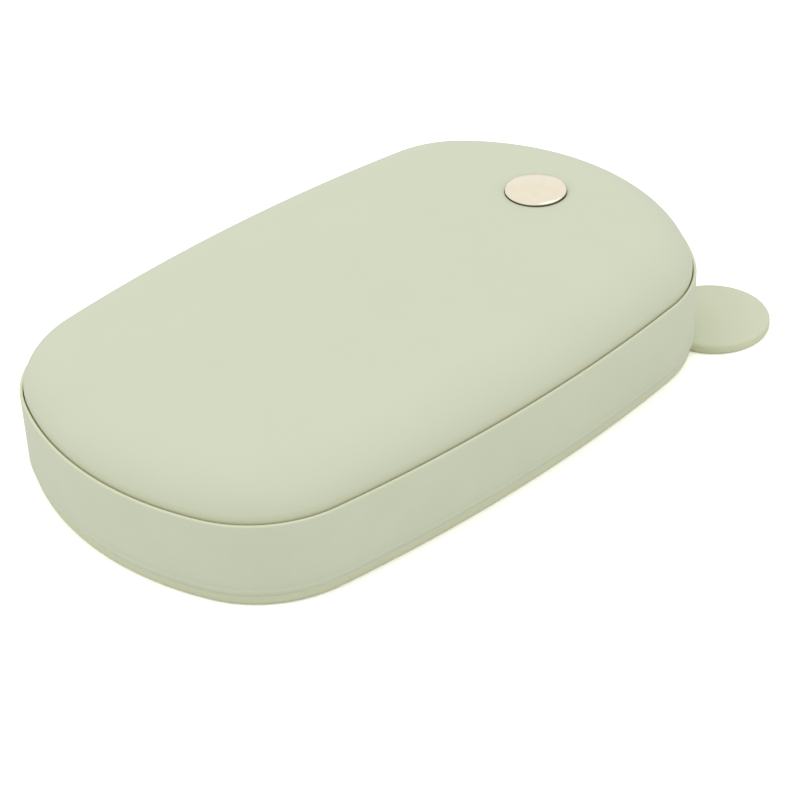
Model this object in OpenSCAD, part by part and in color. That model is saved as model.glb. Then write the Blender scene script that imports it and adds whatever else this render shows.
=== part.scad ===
// Rechargeable hand warmer: two covers snapped to a frame round a battery, a control board and heat plates.
// Origin at the middle of the flat base, +X towards the end with the ears and the ports, +Z up, millimetres.

/* [Body outline] */
// Length of the body without its ears
body_l = 112; // [109:1:118]
// Width of the body
body_w = 68.8; // [67:0.2:74]
// Radius of the long sides
side_r = 269; // [200:3:400]
// Radius of the end with the ears
ear_end_r = 39; // [37:0.5:42]
// Radius of the plain end
plain_end_r = 50.5; // [46:0.5:56]
// Radius of the four corners
corner_r = 19.7; // [18.5:0.1:21]

/* [Side frame] */
// Height of the frame's rim above the base
rim_h = 14.5; // [14:0.1:18]
// Thickness of the frame's wall
wall = 1.8; // [1.7:0.1:2.1]
// Radius that rounds the outer edge of the rim
rim_round = 0.2; // [0.1:0.05:0.3]
// Height of the turned-in foot of the wall
foot_h = 1.4; // [1:0.1:2]
// How far the foot of the wall turns in
foot_in = 0.5; // [0.2:0.05:0.6]
// Thickness of the rim's lip outside the top cover
lip_t = 0.5; // [0.4:0.05:0.8]
// Width of the ledge that carries the top cover
ledge_w = 2.6; // [2.4:0.1:3]
// Thickness of that ledge
ledge_t = 1.2; // [1:0.1:1.6]
// Diameter of the bosses that the tray is screwed to
boss_d = 4.8; // [4.4:0.1:5.2]
// Distance of the bosses' axes from the outline
boss_in = 5.4; // [5.2:0.1:5.8]

/* [Top cover] */
// Depth that the cover sits below the rim
seat_depth = 1.6; // [1.2:0.1:2]
// Width of the rounded shoulder
shoulder_w = 8.6; // [7:0.1:10]
// Height of the rounded shoulder
shoulder_h = 5.7; // [5.4:0.1:7]
// Rise of the crown from the shoulder to the middle
crown = 1.2; // [1:0.1:2]
// Thickness of the cover at its middle
cover_t = 2; // [1.6:0.1:2.4]
// Thickness of the cover's skirt
skirt_t = 1.75; // [1.5:0.05:1.9]

/* [Bottom cover] */
// Height of the bottom cover's visible edge
edge_h = 1.9; // [1.9:0.1:2.2]
// Radius that rounds the edge under
base_round = 0.9; // [0.5:0.1:1.2]
// Thickness of the floor
floor_t = 1.4; // [1.2:0.1:1.5]
// Thickness of the locating rib inside the frame
rib_t = 1; // [0.8:0.1:1.2]
// Height of that rib above the visible edge
rib_h = 2.4; // [2.2:0.1:2.8]
// Radius of the two ears
ear_r = 9.3; // [8:0.1:12]
// Thickness of the ears
ear_t = 1.7; // [1.4:0.1:1.8]
// Distance of an ear's centre inside the end of the body
ear_back = 4.4; // [3:0.1:6]
// Distance of an ear's centre inside the long side
ear_in = 9; // [8:0.1:12]

/* [Snap fits] */
// Width of each hook
hook_w = 5; // [4:0.5:7]
// How far each hook reaches behind its catch
hook_reach = 0.5; // [0.4:0.1:0.6]
// Distance of the outer hooks from the middle of a long side
hook_x = 26; // [22:1:28]

/* [Heat plates] */
// Thickness of the aluminium plates
plate_t = 0.8; // [0.6:0.1:1]
// Distance of the plates' edges inside the outline
plate_in = 10; // [9:0.5:12]
// Thickness of the heater films
film_t = 0.2; // [0.15:0.05:0.25]
// Margin of the film inside its plate
film_margin = 1; // [0.5:0.5:3]

/* [Battery] */
// Length of the cell
cell_l = 54; // [46:1:60]
// Width of the cell
cell_w = 40; // [36:1:44]
// Thickness of the cell
cell_t = 13; // [10:0.5:13.5]
// Place of the cell's front end along the body, from the rear edge of the control board
cell_x = -5.5; // [-7:0.1:-5.3]
// Thickness of the protection board on the end of the cell
guard_t = 0.8; // [0.6:0.1:1]

/* [Tray] */
// Thickness of the tray's floor
tray_t = 1.2; // [1:0.1:1.4]
// Height of the walls round the cell
bay_h = 6; // [4:0.5:6]
// Thickness of those walls
bay_t = 1; // [0.8:0.1:1.2]
// Diameter of the posts under the control board
post_d = 4; // [3.4:0.2:4]

/* [Control board] */
// Thickness of the board
board_t = 1.2; // [1:0.1:1.6]
// Length of the board without its socket tab
board_l = 21.5; // [21.5:0.1:22.5]
// Width of the board
board_w = 40; // [39:0.5:41]
// Distance of the board's front edge inside the end of the body
board_back = 8.5; // [8.3:0.1:8.8]
// Height of the ports' middle line above the base
ports_z = 8; // [7.7:0.1:8.2]

/* [Charging socket] */
// Outer width of the socket's steel shell
usb_w = 8.94; // [8.8:0.01:9.1]
// Outer height of the shell
usb_h = 3.26; // [3.1:0.01:3.3]
// Length of the shell
usb_l = 7.35; // [6.5:0.05:8]
// Thickness of the shell
usb_wall = 0.3; // [0.2:0.05:0.4]
// Distance of the mouth inside the end of the body
usb_back = 0.9; // [0.6:0.1:1.2]

/* [Power button] */
// Place of the button across the body
button_y = -12; // [-12.5:0.1:-11.8]
// Width of the button's cap
button_w = 9; // [7:0.5:9]
// Height of the cap
button_h = 4.2; // [3.4:0.2:4.6]
// How far the cap stands out of the wall
button_proud = 0.35; // [0.2:0.05:0.5]
// Travel of the button
button_travel = 0.3; // [0.2:0.05:0.35]

/* [Indicator lights] */
// Number of lights
light_n = 4; // [2:1:4]
// Distance between the lights
light_pitch = 3; // [2.6:0.1:3]
// Place of the first light across the body
light_y = 8; // [7.6:0.1:8.2]
// Diameter of the light dots
light_d = 1.6; // [1.2:0.1:1.8]

/* [Badge] */
// Diameter of the round badge
badge_d = 10; // [8:0.5:11]
// Height of the badge above its tape
badge_h = 1.8; // [1.4:0.1:2.4]
// Place of the badge along the body
badge_x = 36.7; // [30:0.1:38]
// Depth of the recess that it sits in
badge_seat = 0.45; // [0.3:0.05:0.6]

/* [Fits] */
// Gap round the top cover
seam_gap = 0.15; // [0.1:0.05:0.2]
// Gap between pieces that are assembled inside
fit_gap = 0.2; // [0.15:0.05:0.25]
// Gap round the button and in the wall's openings
slide_gap = 0.15; // [0.1:0.05:0.2]
// Radial gap round screws and pins
pin_gap = 0.1; // [0.05:0.05:0.15]

/* [Hidden] */
$fn = 48;

// The outline has eight arcs: in each quarter a side, a corner and an end of radius r touch without a kink
side_c = [0, body_w / 2 - side_r];
end_steps = 8;
corner_steps = 15;
side_steps = 6;

function heading(v) = atan2(v.y, v.x);
function end_centre(r) = [body_l / 2 - r, 0];
function corner_centre(r) = let (
    centres = norm(end_centre(r) - side_c),
    way = (end_centre(r) - side_c) / centres,
    along = ((side_r - corner_r) ^ 2 - (r - corner_r) ^ 2 + centres ^ 2) / (2 * centres)
) side_c + along * way + sqrt((side_r - corner_r) ^ 2 - along ^ 2) * [way.y, -way.x];
function end_angle(r) = heading(corner_centre(r) - end_centre(r));
function side_angle(r) = heading(corner_centre(r) - side_c);

function arc(c, r, a0, a1, n) =
    [for (i = [0 : n - 1]) let (a = a0 + (a1 - a0) * i / n) c + r * [cos(a), sin(a)]];

function quarter(r, inset) = concat(
    arc(end_centre(r), r - inset, 0, end_angle(r), end_steps),
    arc(corner_centre(r), corner_r - inset, end_angle(r), side_angle(r), corner_steps),
    arc(side_c, side_r - inset, side_angle(r), 90, side_steps)
);

function half_outline(inset) = let (q = quarter(ear_end_r, inset), p = quarter(plain_end_r, inset)) concat(
    q,
    [[0, body_w / 2 - inset]],
    [for (k = [len(p) - 1 : -1 : 0]) [-p[k].x, p[k].y]]
);

// The body's outline moved inwards by inset
function outline(inset) = let (h = half_outline(inset)) concat(
    h,
    [for (k = [len(h) - 2 : -1 : 1]) [h[k].x, -h[k].y]]
);

// Snap hooks and the chamfers where the wall meets the base
hook_h = 1.1;
hook_face = 0.3;
hook_root = 0.4;
hook_z = edge_h + rib_h - hook_h - 0.2;
seam_edge = 0.06;
tab_t = 1;
tab_lift = 0.2;
tab_face = 0.4;
tab_slot = fit_gap + tab_t + 0.7;
tab_drop = 1.5;

// Heights, from the base up
plate_z = floor_t;
film_z = plate_z + plate_t;
tray_z = film_z + film_t + fit_gap;
tray_top = tray_z + tray_t;
cell_top = tray_top + cell_t;
board_top = ports_z - usb_h / 2;
seat_z = rim_h - seat_depth;
rib_top = edge_h + rib_h;
top_z = rim_h + shoulder_h + crown;
ceiling_z = top_z - cover_t;
top_plate_z = ceiling_z - plate_t;
top_film_z = top_plate_z - film_t;

// Insets, from the outline inwards
cover_in = lip_t + seam_gap;
skirt_in = cover_in + skirt_t;
shoulder_in = cover_in + shoulder_w;
rib_in = wall + seam_gap;
tray_in = rib_in + rib_t + fit_gap;
ledge_in = wall + ledge_w;
crown_in = 0.9 * corner_r;
ceiling_in = plate_in - 2 * fit_gap;

// Small distances on the tray and the board
lead_room = 0.5;
lead_back = 1.6;
post_back = 3.8;
post_side = 3.2;
guard_margin = 4;
guard_lift = 1;
window_w = 2.5;
peg_out = 0.6;

// Places along the body
body_end = body_l / 2;
board_front = body_end - board_back;
board_rear = board_front - board_l;
cell_end = board_rear + cell_x;
cell_rear = cell_end - cell_l;
cell_mid = (cell_end + cell_rear) / 2;
guard_end = cell_end + guard_t;
bay_end = guard_end + lead_room;
function boss_at(r) = let (a = (end_angle(r) + side_angle(r)) / 2)
    corner_centre(r) + (corner_r - boss_in) * [cos(a), sin(a)];
post_x = [board_rear + post_back, board_front - post_back];
post_y = board_w / 2 - post_side;
lead_x = board_rear - lead_back;

// Small bought pieces
screw_d = 1.6;
screw_l = 6;
screw_head_d = 3.4;
screw_head_t = 0.9;
board_screw_d = 1.4;
board_screw_l = 3;
board_screw_head_d = 2.8;
board_screw_head_t = 1;
plug_l = 4.5;
plug_w = 5.8;
plug_h = 4;
plug_x = board_rear + 1.3;
heater_y = 9.5;
plug_depth = 1;
lead_d = 1.1;
lead_y = 1.1;
lead_z = board_top + plug_h / 2;
lead_pull = 3;
plug_pull = 4.5;
cell_lead_drop = 3;
coil_w = 6.6;
coil_h = 3;
coil_d = 5.2;
coil_cup = 0.2;
coil_x = board_rear + 11.5;
coil_y = 4.5;
chip_h = 0.9;
charger_w = 4;
charger_y = -4;
heat_chip_w = 3;
heat_chip_x = board_rear + 17;
heat_chip_y = -3.5;
transistor_l = 3.2;
transistor_w = 3;
transistor_h = 1;
transistor_x = board_rear + 10;
transistor_y = -10.5;
transistor_pitch = 4;
capacitor_l = 0.8;
capacitor_w = 1.6;
capacitor_h = 0.8;
capacitor_x = board_rear + 6.9;
capacitor_y = -6;
capacitor_pitch = 3;
fuse_d = 2.2;
fuse_l = 7;
fuse_z = 1.4;
fuse_x = board_rear + 10;
fuse_y = 13.6;
fuse_lead_d = 0.6;
bead_l = 1.6;
bead_w = 2.2;
bead_h = 1;
switch_l = 3.5;
switch_w = 6;
switch_h = 3.5;
plunger_d = 2;
plunger_out = 0.8;
plunger_in = 1.2;
led_l = 1.2;
led_w = 1.6;
led_h = 1.4;

// Height of the top cover over a point in by inset, or over the ring at crown_in drawn in to the share s
function crown_at(u) = rim_h + shoulder_h + crown * (1 - (1 - u) ^ 2);
function in_share(inset) = (inset - cover_in) / (body_w / 2 - cover_in);
function dome_z(inset) = let (t = min((inset - cover_in) / shoulder_w, 1))
    crown_at(in_share(inset)) - shoulder_h * (1 - sqrt(1 - (1 - t) ^ 2));
function middle_z(s) = crown_at(in_share(crown_in) + (1 - s) * (1 - in_share(crown_in)));

// Place along X of the wall of the ported end, at y and in from the outline by inset
function wall_x(y, inset) = end_centre(ear_end_r).x + sqrt((ear_end_r - inset) ^ 2 - y ^ 2);

module outline_2d(inset) polygon(outline(inset));

module slab(inset, z0, z1) translate([0, 0, z0]) linear_extrude(z1 - z0) outline_2d(inset);

module band(outer, inner, z0, z1) translate([0, 0, z0]) linear_extrude(z1 - z0) difference() {
    outline_2d(outer);
    outline_2d(inner);
}

// Skin through rings of the outline, closed at its first and last ring: a station is [inset, height, scale]
module loft(stations) {
    n = len(outline(0));
    m = len(stations);
    points = [for (s = stations) for (p = outline(s[0])) [p.x * s[2], p.y * s[2], s[1]]];
    walls = [for (k = [0 : m - 2]) for (i = [0 : n - 1]) let (j = (i + 1) % n, a = k * n, b = a + n)
        each [[a + i, b + i, b + j], [a + i, b + j, a + j]]];
    first = [for (i = [0 : n - 1]) i];
    last = [for (i = [n - 1 : -1 : 0]) (m - 1) * n + i];
    polyhedron(points, concat([first], walls, [last]));
}

// Extrudes a shape drawn in Y and Z along X
module along_x(x0, x1) translate([x0, 0, 0]) rotate([90, 0, 90]) linear_extrude(x1 - x0) children();

// Extrudes a shape at the height of the ports through the wall of the ported end, at y
module through_wall(y) translate([0, y, ports_z]) along_x(body_end - 9, body_end + 1) children();

module pill(w, h) {
    square([w - h, h], center = true);
    for (s = [-1, 1]) translate([s * (w - h) / 2, 0]) circle(d = h);
}

module block(x, y, z, size) translate([x - size.x / 2, y - size.y / 2, z]) cube(size);

// Places its children at the eight snap fits, with local +X outwards and the origin on the outline
module snap_sites() {
    for (m = [0, 1]) mirror([0, m, 0]) for (x = [-hook_x, 0, hook_x])
        translate([side_c.x, side_c.y, 0]) rotate(90 - asin(x / side_r)) translate([side_r, 0, 0]) children();
    for (m = [0, 1]) mirror([m, 0, 0]) translate([body_end, 0, 0]) children();
}

// Extrudes a shape drawn in X and Z along Y by w, about the middle
module across_y(w) rotate([90, 0, 0]) linear_extrude(w, center = true) children();

module at_bosses() for (s = [-1, 1]) {
    translate([boss_at(ear_end_r).x, s * boss_at(ear_end_r).y, 0]) children();
    translate([-boss_at(plain_end_r).x, s * boss_at(plain_end_r).y, 0]) children();
}

module at_screw_posts() {
    translate([post_x[0], -post_y, 0]) children();
    translate([post_x[1], post_y, 0]) children();
}

module at_peg_posts() {
    translate([post_x[0], post_y, 0]) children();
    translate([post_x[1], -post_y, 0]) children();
}

// Places its children at the light dots, along the wall
module at_lights() for (i = [0 : light_n - 1]) translate([0, light_y + i * light_pitch, 0]) children();

module ear() {
    edge_r = ear_t / 2;
    rotate_extrude() union() {
        square([ear_r - edge_r, ear_t]);
        translate([ear_r - edge_r, edge_r]) intersection() {
            circle(r = edge_r);
            translate([0, -edge_r]) square([edge_r, ear_t]);
        }
    }
}

module bottom_cover() color([0.79, 0.81, 0.68]) difference() {
    union() {
        loft([
            for (a = [0 : 22.5 : 90]) [foot_in + base_round * (1 - sin(a)), base_round * (1 - cos(a)), 1],
            [foot_in, edge_h - seam_edge, 1],
            [foot_in + seam_edge, edge_h, 1]
        ]);
        for (s = [-1, 1]) translate([body_end - ear_back, s * (body_w / 2 - ear_in), 0]) ear();
        band(rib_in, rib_in + rib_t, edge_h - 0.5, rib_top);
        snap_sites() translate([-rib_in, 0, hook_z]) across_y(hook_w) polygon([
            [-hook_root, 0],
            [hook_reach, 0],
            [hook_reach, hook_face],
            [0, hook_h],
            [-hook_root, hook_h]
        ]);
    }
    slab(rib_in + rib_t, floor_t, rib_top + 1);
    at_bosses() translate([0, 0, tray_top - fit_gap]) cylinder(d = boss_d + 2 * fit_gap, h = rib_h);
}

module side_frame() color([0.76, 0.78, 0.69]) difference() {
    arm_t = 1.2;
    union() {
        difference() {
            loft([
                [foot_in + seam_edge, edge_h, 1],
                for (t = [0 : 0.25 : 1])
                    [foot_in * (1 - t) ^ 1.4, edge_h + seam_edge + (foot_h - seam_edge) * t, 1],
                for (a = [0 : 22.5 : 90]) [rim_round * (1 - cos(a)), rim_h - rim_round * (1 - sin(a)), 1]
            ]);
            slab(lip_t, seat_z, rim_h + 1);
            slab(ledge_in, edge_h - 1, rim_h + 1);
            slab(wall, edge_h - 1, seat_z - ledge_t);
        }
        at_bosses() translate([0, 0, tray_top]) cylinder(d = boss_d, h = seat_z - tray_top);
        intersection() {
            band(wall / 2, boss_in, rib_top + fit_gap, seat_z);
            at_bosses() for (a = [0, 90]) rotate(a)
                translate([-2 * boss_in, -arm_t / 2, 0]) cube([4 * boss_in, arm_t, rim_h]);
        }
    }
    at_bosses() translate([0, 0, tray_top - 1]) cylinder(d = screw_d + 2 * pin_gap, h = screw_l + 1);
    snap_sites() {
        translate([-wall - 1, -hook_w / 2 - fit_gap, hook_z - fit_gap])
            cube([1 + hook_reach - seam_gap + fit_gap, hook_w + 2 * fit_gap, hook_h + 2 * fit_gap]);
        translate([-wall - tab_slot, -hook_w / 2 - fit_gap, seat_z - ledge_t - 0.5])
            cube([tab_slot, hook_w + 2 * fit_gap, ledge_t + 1]);
    }
    through_wall(0) pill(usb_w + 2 * slide_gap, usb_h + 2 * slide_gap);
    through_wall(button_y) pill(button_w + 2 * slide_gap, button_h + 2 * slide_gap);
    at_lights() through_wall(0) circle(d = light_d + 2 * pin_gap);
}

module top_cover() color([0.84, 0.86, 0.77]) difference() {
    union() {
        loft([
            for (a = [90 : -15 : 0])
                [skirt_in + (ceiling_in - skirt_in) * (1 - cos(a)), rim_h + (ceiling_z - rim_h) * sin(a), 1],
            [skirt_in, seat_z, 1],
            [cover_in, seat_z, 1],
            [cover_in, rim_h - 0.3, 1],
            for (a = [10 : 10 : 90]) let (i = cover_in + shoulder_w * (1 - cos(a))) [i, dome_z(i), 1],
            for (k = [1 : 3]) let (i = shoulder_in + (crown_in - shoulder_in) * k / 3) [i, dome_z(i), 1],
            for (s = [0.75, 0.5, 0.25]) [crown_in, middle_z(s), s]
        ]);
        catch_z = seat_z - ledge_t - tab_lift;
        snap_sites() translate([-wall - fit_gap, 0, 0]) across_y(hook_w) polygon([
            [0, seat_z + 1],
            [0, seat_z - ledge_t - tab_drop],
            [-tab_t, seat_z - ledge_t - tab_drop],
            [-tab_t - hook_reach, catch_z - tab_face],
            [-tab_t - hook_reach, catch_z],
            [-tab_t, catch_z],
            [-tab_t, seat_z + 1]
        ]);
    }
    translate([badge_x, 0, badge_seat_z]) cylinder(d = badge_d + 2 * pin_gap, h = badge_h + 1);
    at_badge_pins() translate([0, 0, ceiling_z - 1]) cylinder(d = badge_pin_d + 2 * pin_gap, h = cover_t + 1);
}

badge_tape_t = 0.15;
badge_seat_z = dome_z(body_end - badge_x) - badge_seat;
badge_z = badge_seat_z + badge_tape_t;
badge_edge_h = 0.7;
badge_bevel = 0.25;
badge_pin_d = 1.2;

module at_badge_pins() for (s = [-1, 1]) translate([badge_x + s * badge_d / 4, 0, 0]) children();

// The badge is a polished disc with an upright edge, a bevel and a domed face
module badge() color([0.86, 0.74, 0.5]) {
    face_r = badge_d / 2 - badge_bevel;
    face_z = badge_edge_h + badge_bevel;
    rise = badge_h - face_z;
    dome_r = (face_r ^ 2 + rise ^ 2) / (2 * rise);
    translate([badge_x, 0, badge_z]) {
        rotate_extrude() union() {
            square([badge_d / 2, badge_edge_h]);
            polygon([[0, 0], [badge_d / 2, badge_edge_h], [face_r, face_z], [0, face_z]]);
            translate([0, badge_h - dome_r]) intersection() {
                circle(r = dome_r, $fn = 180);
                translate([0, dome_r - rise]) square([face_r, rise + 1]);
            }
        }
    }
    at_badge_pins() translate([0, 0, ceiling_z + fit_gap])
        cylinder(d = badge_pin_d, h = badge_z + badge_edge_h / 2 - ceiling_z - fit_gap);
}

module badge_tape() color([0.2, 0.2, 0.2]) difference() {
    translate([badge_x, 0, badge_seat_z]) cylinder(d = badge_d - 1, h = badge_tape_t);
    at_badge_pins() translate([0, 0, badge_seat_z - 1]) cylinder(d = badge_pin_d + 4 * pin_gap, h = 2);
}

module top_heat_plate() color([0.8, 0.81, 0.82]) slab(plate_in, top_plate_z, ceiling_z);

module top_heater_film() color([0.75, 0.45, 0.12]) slab(plate_in + film_margin, top_film_z, top_plate_z);

module bottom_heat_plate() color([0.8, 0.81, 0.82]) slab(plate_in, plate_z, film_z);

module bottom_heater_film() color([0.75, 0.45, 0.12]) slab(plate_in + film_margin, film_z, film_z + film_t);

module battery_tray() color([0.25, 0.26, 0.27]) difference() {
    union() {
        slab(tray_in, tray_z, tray_top);
        translate([cell_rear - fit_gap - bay_t, -cell_w / 2 - fit_gap - bay_t, tray_z])
            cube([bay_end + 2 * bay_t + fit_gap - cell_rear, cell_w + 2 * (fit_gap + bay_t), tray_t + bay_h]);
        for (x = post_x, s = [-1, 1]) translate([x, s * post_y, tray_z])
            cylinder(d = post_d, h = board_top - board_t - tray_z);
        at_peg_posts() translate([0, 0, tray_z])
            cylinder(d = board_screw_d, h = board_top + peg_out - tray_z);
    }
    translate([cell_rear - fit_gap, -cell_w / 2 - fit_gap, tray_top])
        cube([bay_end + fit_gap - cell_rear, cell_w + 2 * fit_gap, bay_h + 1]);
    at_bosses() translate([0, 0, tray_z - 1]) cylinder(d = screw_d + 4 * pin_gap, h = tray_t + 2);
    at_screw_posts() translate([0, 0, board_top - board_screw_l - fit_gap])
        cylinder(d = board_screw_d + 2 * pin_gap, h = board_screw_l + 1);
    translate([lead_x - window_w / 2, -heater_y - window_w, tray_z - 1])
        cube([window_w, heater_y, tray_t + 2]);
}

// A flat pouch whose long edges are chamfered, as the fold of its foil is
module battery_cell() color([0.55, 0.62, 0.7]) translate([cell_rear, 0, tray_top + cell_t / 2]) {
    fold = 0.7;
    along_x(0, cell_l) polygon([for (s = [[1, 1], [-1, 1], [-1, -1], [1, -1]])
        let (w = cell_w / 2, h = cell_t / 2, a = [s.x * w, s.y * (h - fold)], b = [s.x * (w - fold), s.y * h])
            each s.x * s.y > 0 ? [a, b] : [b, a]]);
}

module battery_guard_board() color([0.1, 0.35, 0.2])
    translate([cell_end, -cell_w / 2 + guard_margin, tray_top + guard_lift])
        cube([guard_t, cell_w - 2 * guard_margin, cell_t - 3 * guard_lift]);

module battery_foam_pads() color([0.3, 0.3, 0.32]) for (s = [-1, 1])
    block(cell_mid, s * cell_w / 4, cell_top, [0.8 * cell_l, cell_w / 4, top_film_z - cell_top]);

module board_2d() intersection() {
    outline_2d(wall + 1);
    union() {
        translate([board_rear, -board_w / 2]) square([board_l, board_w]);
        translate([board_front - 1, -usb_w / 2 - 1]) square([board_back, usb_w + 2]);
    }
}

module main_board() color([0.05, 0.3, 0.17]) difference() {
    translate([0, 0, board_top - board_t]) linear_extrude(board_t) board_2d();
    for (x = post_x, s = [-1, 1]) translate([x, s * post_y, 0])
        cylinder(d = board_screw_d + 2 * pin_gap, h = rim_h);
}

module usb_c_shell() color([0.75, 0.76, 0.78]) translate([0, 0, ports_z]) {
    mouth = body_end - usb_back;
    difference() {
        along_x(mouth - usb_l, mouth) pill(usb_w, usb_h);
        along_x(mouth - usb_l + usb_wall, mouth + 1) pill(usb_w - 2 * usb_wall, usb_h - 2 * usb_wall);
    }
}

// The insulator fills the back of the shell and carries the contacts on its tongue
module usb_c_tongue() color([0.1, 0.1, 0.1]) translate([body_end - usb_back - usb_l + usb_wall, 0, ports_z]) {
    back_t = 1.2;
    tongue_l = 4;
    tongue_w = 6.69;
    tongue_t = 0.7;
    lap = 0.6;
    along_x(0, back_t) pill(usb_w - 2 * usb_wall - 2 * pin_gap, usb_h - 2 * usb_wall - 2 * pin_gap);
    translate([back_t - lap, -tongue_w / 2, -tongue_t / 2]) cube([tongue_l + lap, tongue_w, tongue_t]);
}

switch_front = board_front - pin_gap;
plunger_tip = switch_front + plunger_out;

module switch_body() color([0.15, 0.15, 0.16]) difference() {
    block(switch_front - switch_l / 2, button_y, board_top, [switch_l, switch_w, switch_h]);
    translate([0, button_y, ports_z])
        along_x(switch_front - plunger_in - button_travel - fit_gap, switch_front + 1)
            circle(d = plunger_d + 2 * pin_gap);
}

module switch_plunger() color([0.85, 0.85, 0.82]) translate([0, button_y, ports_z])
    along_x(switch_front - plunger_in, plunger_tip) circle(d = plunger_d);

// The cap is held behind the wall by its flange, and its stem ends on the plunger
module button_cap() color([0.76, 0.78, 0.69]) {
    flange_in = wall + slide_gap;
    flange_t = 1;
    flange_side = 1.1;
    flange_over = 0.9;
    stem_d = 2.6;
    middle_in = flange_in + flange_t / 2;
    intersection() {
        through_wall(button_y) pill(button_w, button_h);
        band(-button_proud, middle_in, 0, rim_h);
    }
    intersection() {
        through_wall(button_y) pill(button_w + 2 * flange_side, button_h + 2 * flange_over);
        band(flange_in, flange_in + flange_t, 0, rim_h);
    }
    translate([0, button_y, ports_z]) along_x(plunger_tip, wall_x(button_y, middle_in)) circle(d = stem_d);
}

module indicator_leds() color([0.95, 0.93, 0.8]) at_lights()
    block(board_front - pin_gap - led_l / 2, 0, board_top, [led_l, led_w, led_h]);

// One bar behind the wall, with a dot through the wall and a foot in front of its light for each light
module light_guide() color([0.9, 0.92, 0.93]) {
    guide_in = wall + slide_gap;
    guide_t = 1.2;
    guide_z = board_top + fit_gap;
    guide_over = 0.5;
    dot_in = 0.05;
    dot_l = 7;
    bar_side = 0.4;
    bar_y = light_y - led_w / 2 - bar_side;
    bar_w = (light_n - 1) * light_pitch + led_w + 2 * bar_side;
    intersection() {
        band(guide_in, guide_in + guide_t, guide_z, ports_z + light_d / 2 + guide_over);
        translate([0, bar_y, 0]) cube([body_end, bar_w, rim_h]);
    }
    intersection() {
        slab(dot_in, 0, rim_h);
        at_lights() translate([0, 0, ports_z]) along_x(body_end - dot_l, body_end) circle(d = light_d);
    }
    intersection() {
        slab(guide_in, 0, rim_h);
        at_lights() translate([board_front + fit_gap, -led_w / 2, guide_z])
            cube([body_end - board_front, led_w, ports_z - board_top]);
    }
}

module power_inductor() color([0.3, 0.3, 0.31]) difference() {
    block(coil_x, coil_y, board_top, [coil_w, coil_w, coil_h]);
    translate([coil_x, coil_y, board_top + coil_h - coil_cup]) cylinder(d = coil_d, h = 1);
}

module charge_controller() color([0.12, 0.12, 0.13])
    block(coil_x, charger_y, board_top, [charger_w, charger_w, chip_h]);

module heat_controller() color([0.12, 0.12, 0.13])
    block(heat_chip_x, heat_chip_y, board_top, [heat_chip_w, heat_chip_w, chip_h]);

module heater_transistors() color([0.12, 0.12, 0.13]) for (i = [0, 1])
    let (y = transistor_y - transistor_pitch * i)
        block(transistor_x, y, board_top, [transistor_l, transistor_w, transistor_h]);

module board_capacitors() color([0.7, 0.6, 0.45]) for (i = [0 : 4])
    block(capacitor_x, capacitor_y + capacitor_pitch * i, board_top, [capacitor_l, capacitor_w, capacitor_h]);

module plug_housing(y) difference() {
    block(plug_x + plug_l / 2, y, board_top, [plug_l, plug_w, plug_h]);
    for (s = [-1, 1]) translate([plug_x - 1, y + s * lead_y, lead_z]) rotate([0, 90, 0])
        cylinder(d = lead_d + 2 * pin_gap, h = 1 + 2 * plug_depth);
}

module battery_connector() color([0.9, 0.89, 0.84]) plug_housing(0);

module heater_connectors() color([0.9, 0.89, 0.84]) for (s = [-1, 1]) plug_housing(s * heater_y);

module thermal_fuse() color([0.78, 0.79, 0.8]) translate([fuse_x, fuse_y, board_top]) {
    lead_out = fuse_l / 2 + fuse_lead_d / 2 + 0.5;
    translate([0, -fuse_l / 2, fuse_z]) rotate([-90, 0, 0]) cylinder(d = fuse_d, h = fuse_l);
    for (s = [-1, 1]) {
        translate([0, s * lead_out, 0]) cylinder(d = fuse_lead_d, h = fuse_z);
        translate([0, s * lead_out, fuse_z]) sphere(d = fuse_lead_d);
        translate([0, s * lead_out, fuse_z]) rotate([s * 90, 0, 0])
            cylinder(d = fuse_lead_d, h = lead_out - fuse_l / 2);
    }
}

module thermistors() color([0.2, 0.2, 0.22]) for (z = [film_z + film_t, top_film_z - bead_h])
    block(lead_x, -heater_y / 2, z, [bead_l, bead_w, bead_h]);

module pan_screw(d, l, head_d, head_t) {
    slot_l = 2 * head_d / 3;
    slot_w = 0.4;
    slot_deep = 0.4;
    cylinder(d = d, h = l);
    translate([0, 0, -head_t]) difference() {
        cylinder(d = head_d, h = head_t);
        for (a = [0, 90]) rotate(a) translate([-slot_l / 2, -slot_w / 2, -1])
            cube([slot_l, slot_w, 1 + slot_deep]);
    }
}

module tray_screws() color([0.6, 0.6, 0.62])
    at_bosses() translate([0, 0, tray_z]) pan_screw(screw_d, screw_l, screw_head_d, screw_head_t);

module board_screws() color([0.6, 0.6, 0.62]) at_screw_posts() translate([0, 0, board_top]) mirror([0, 0, 1])
    pan_screw(board_screw_d, board_screw_l, board_screw_head_d, board_screw_head_t);

// A lead bends smoothly in a plane of constant Y, from p to q, with the pull of its two ends
lead_rings = 12;
lead_sides = 8;

function bend(p, a, b, q, t) =
    (1 - t) ^ 3 * p + 3 * (1 - t) ^ 2 * t * a + 3 * (1 - t) * t ^ 2 * b + t ^ 3 * q;
function bend_way(p, a, b, q, t) =
    let (v = (1 - t) ^ 2 * (a - p) + 2 * (1 - t) * t * (b - a) + t ^ 2 * (q - b)) v / norm(v);

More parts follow.
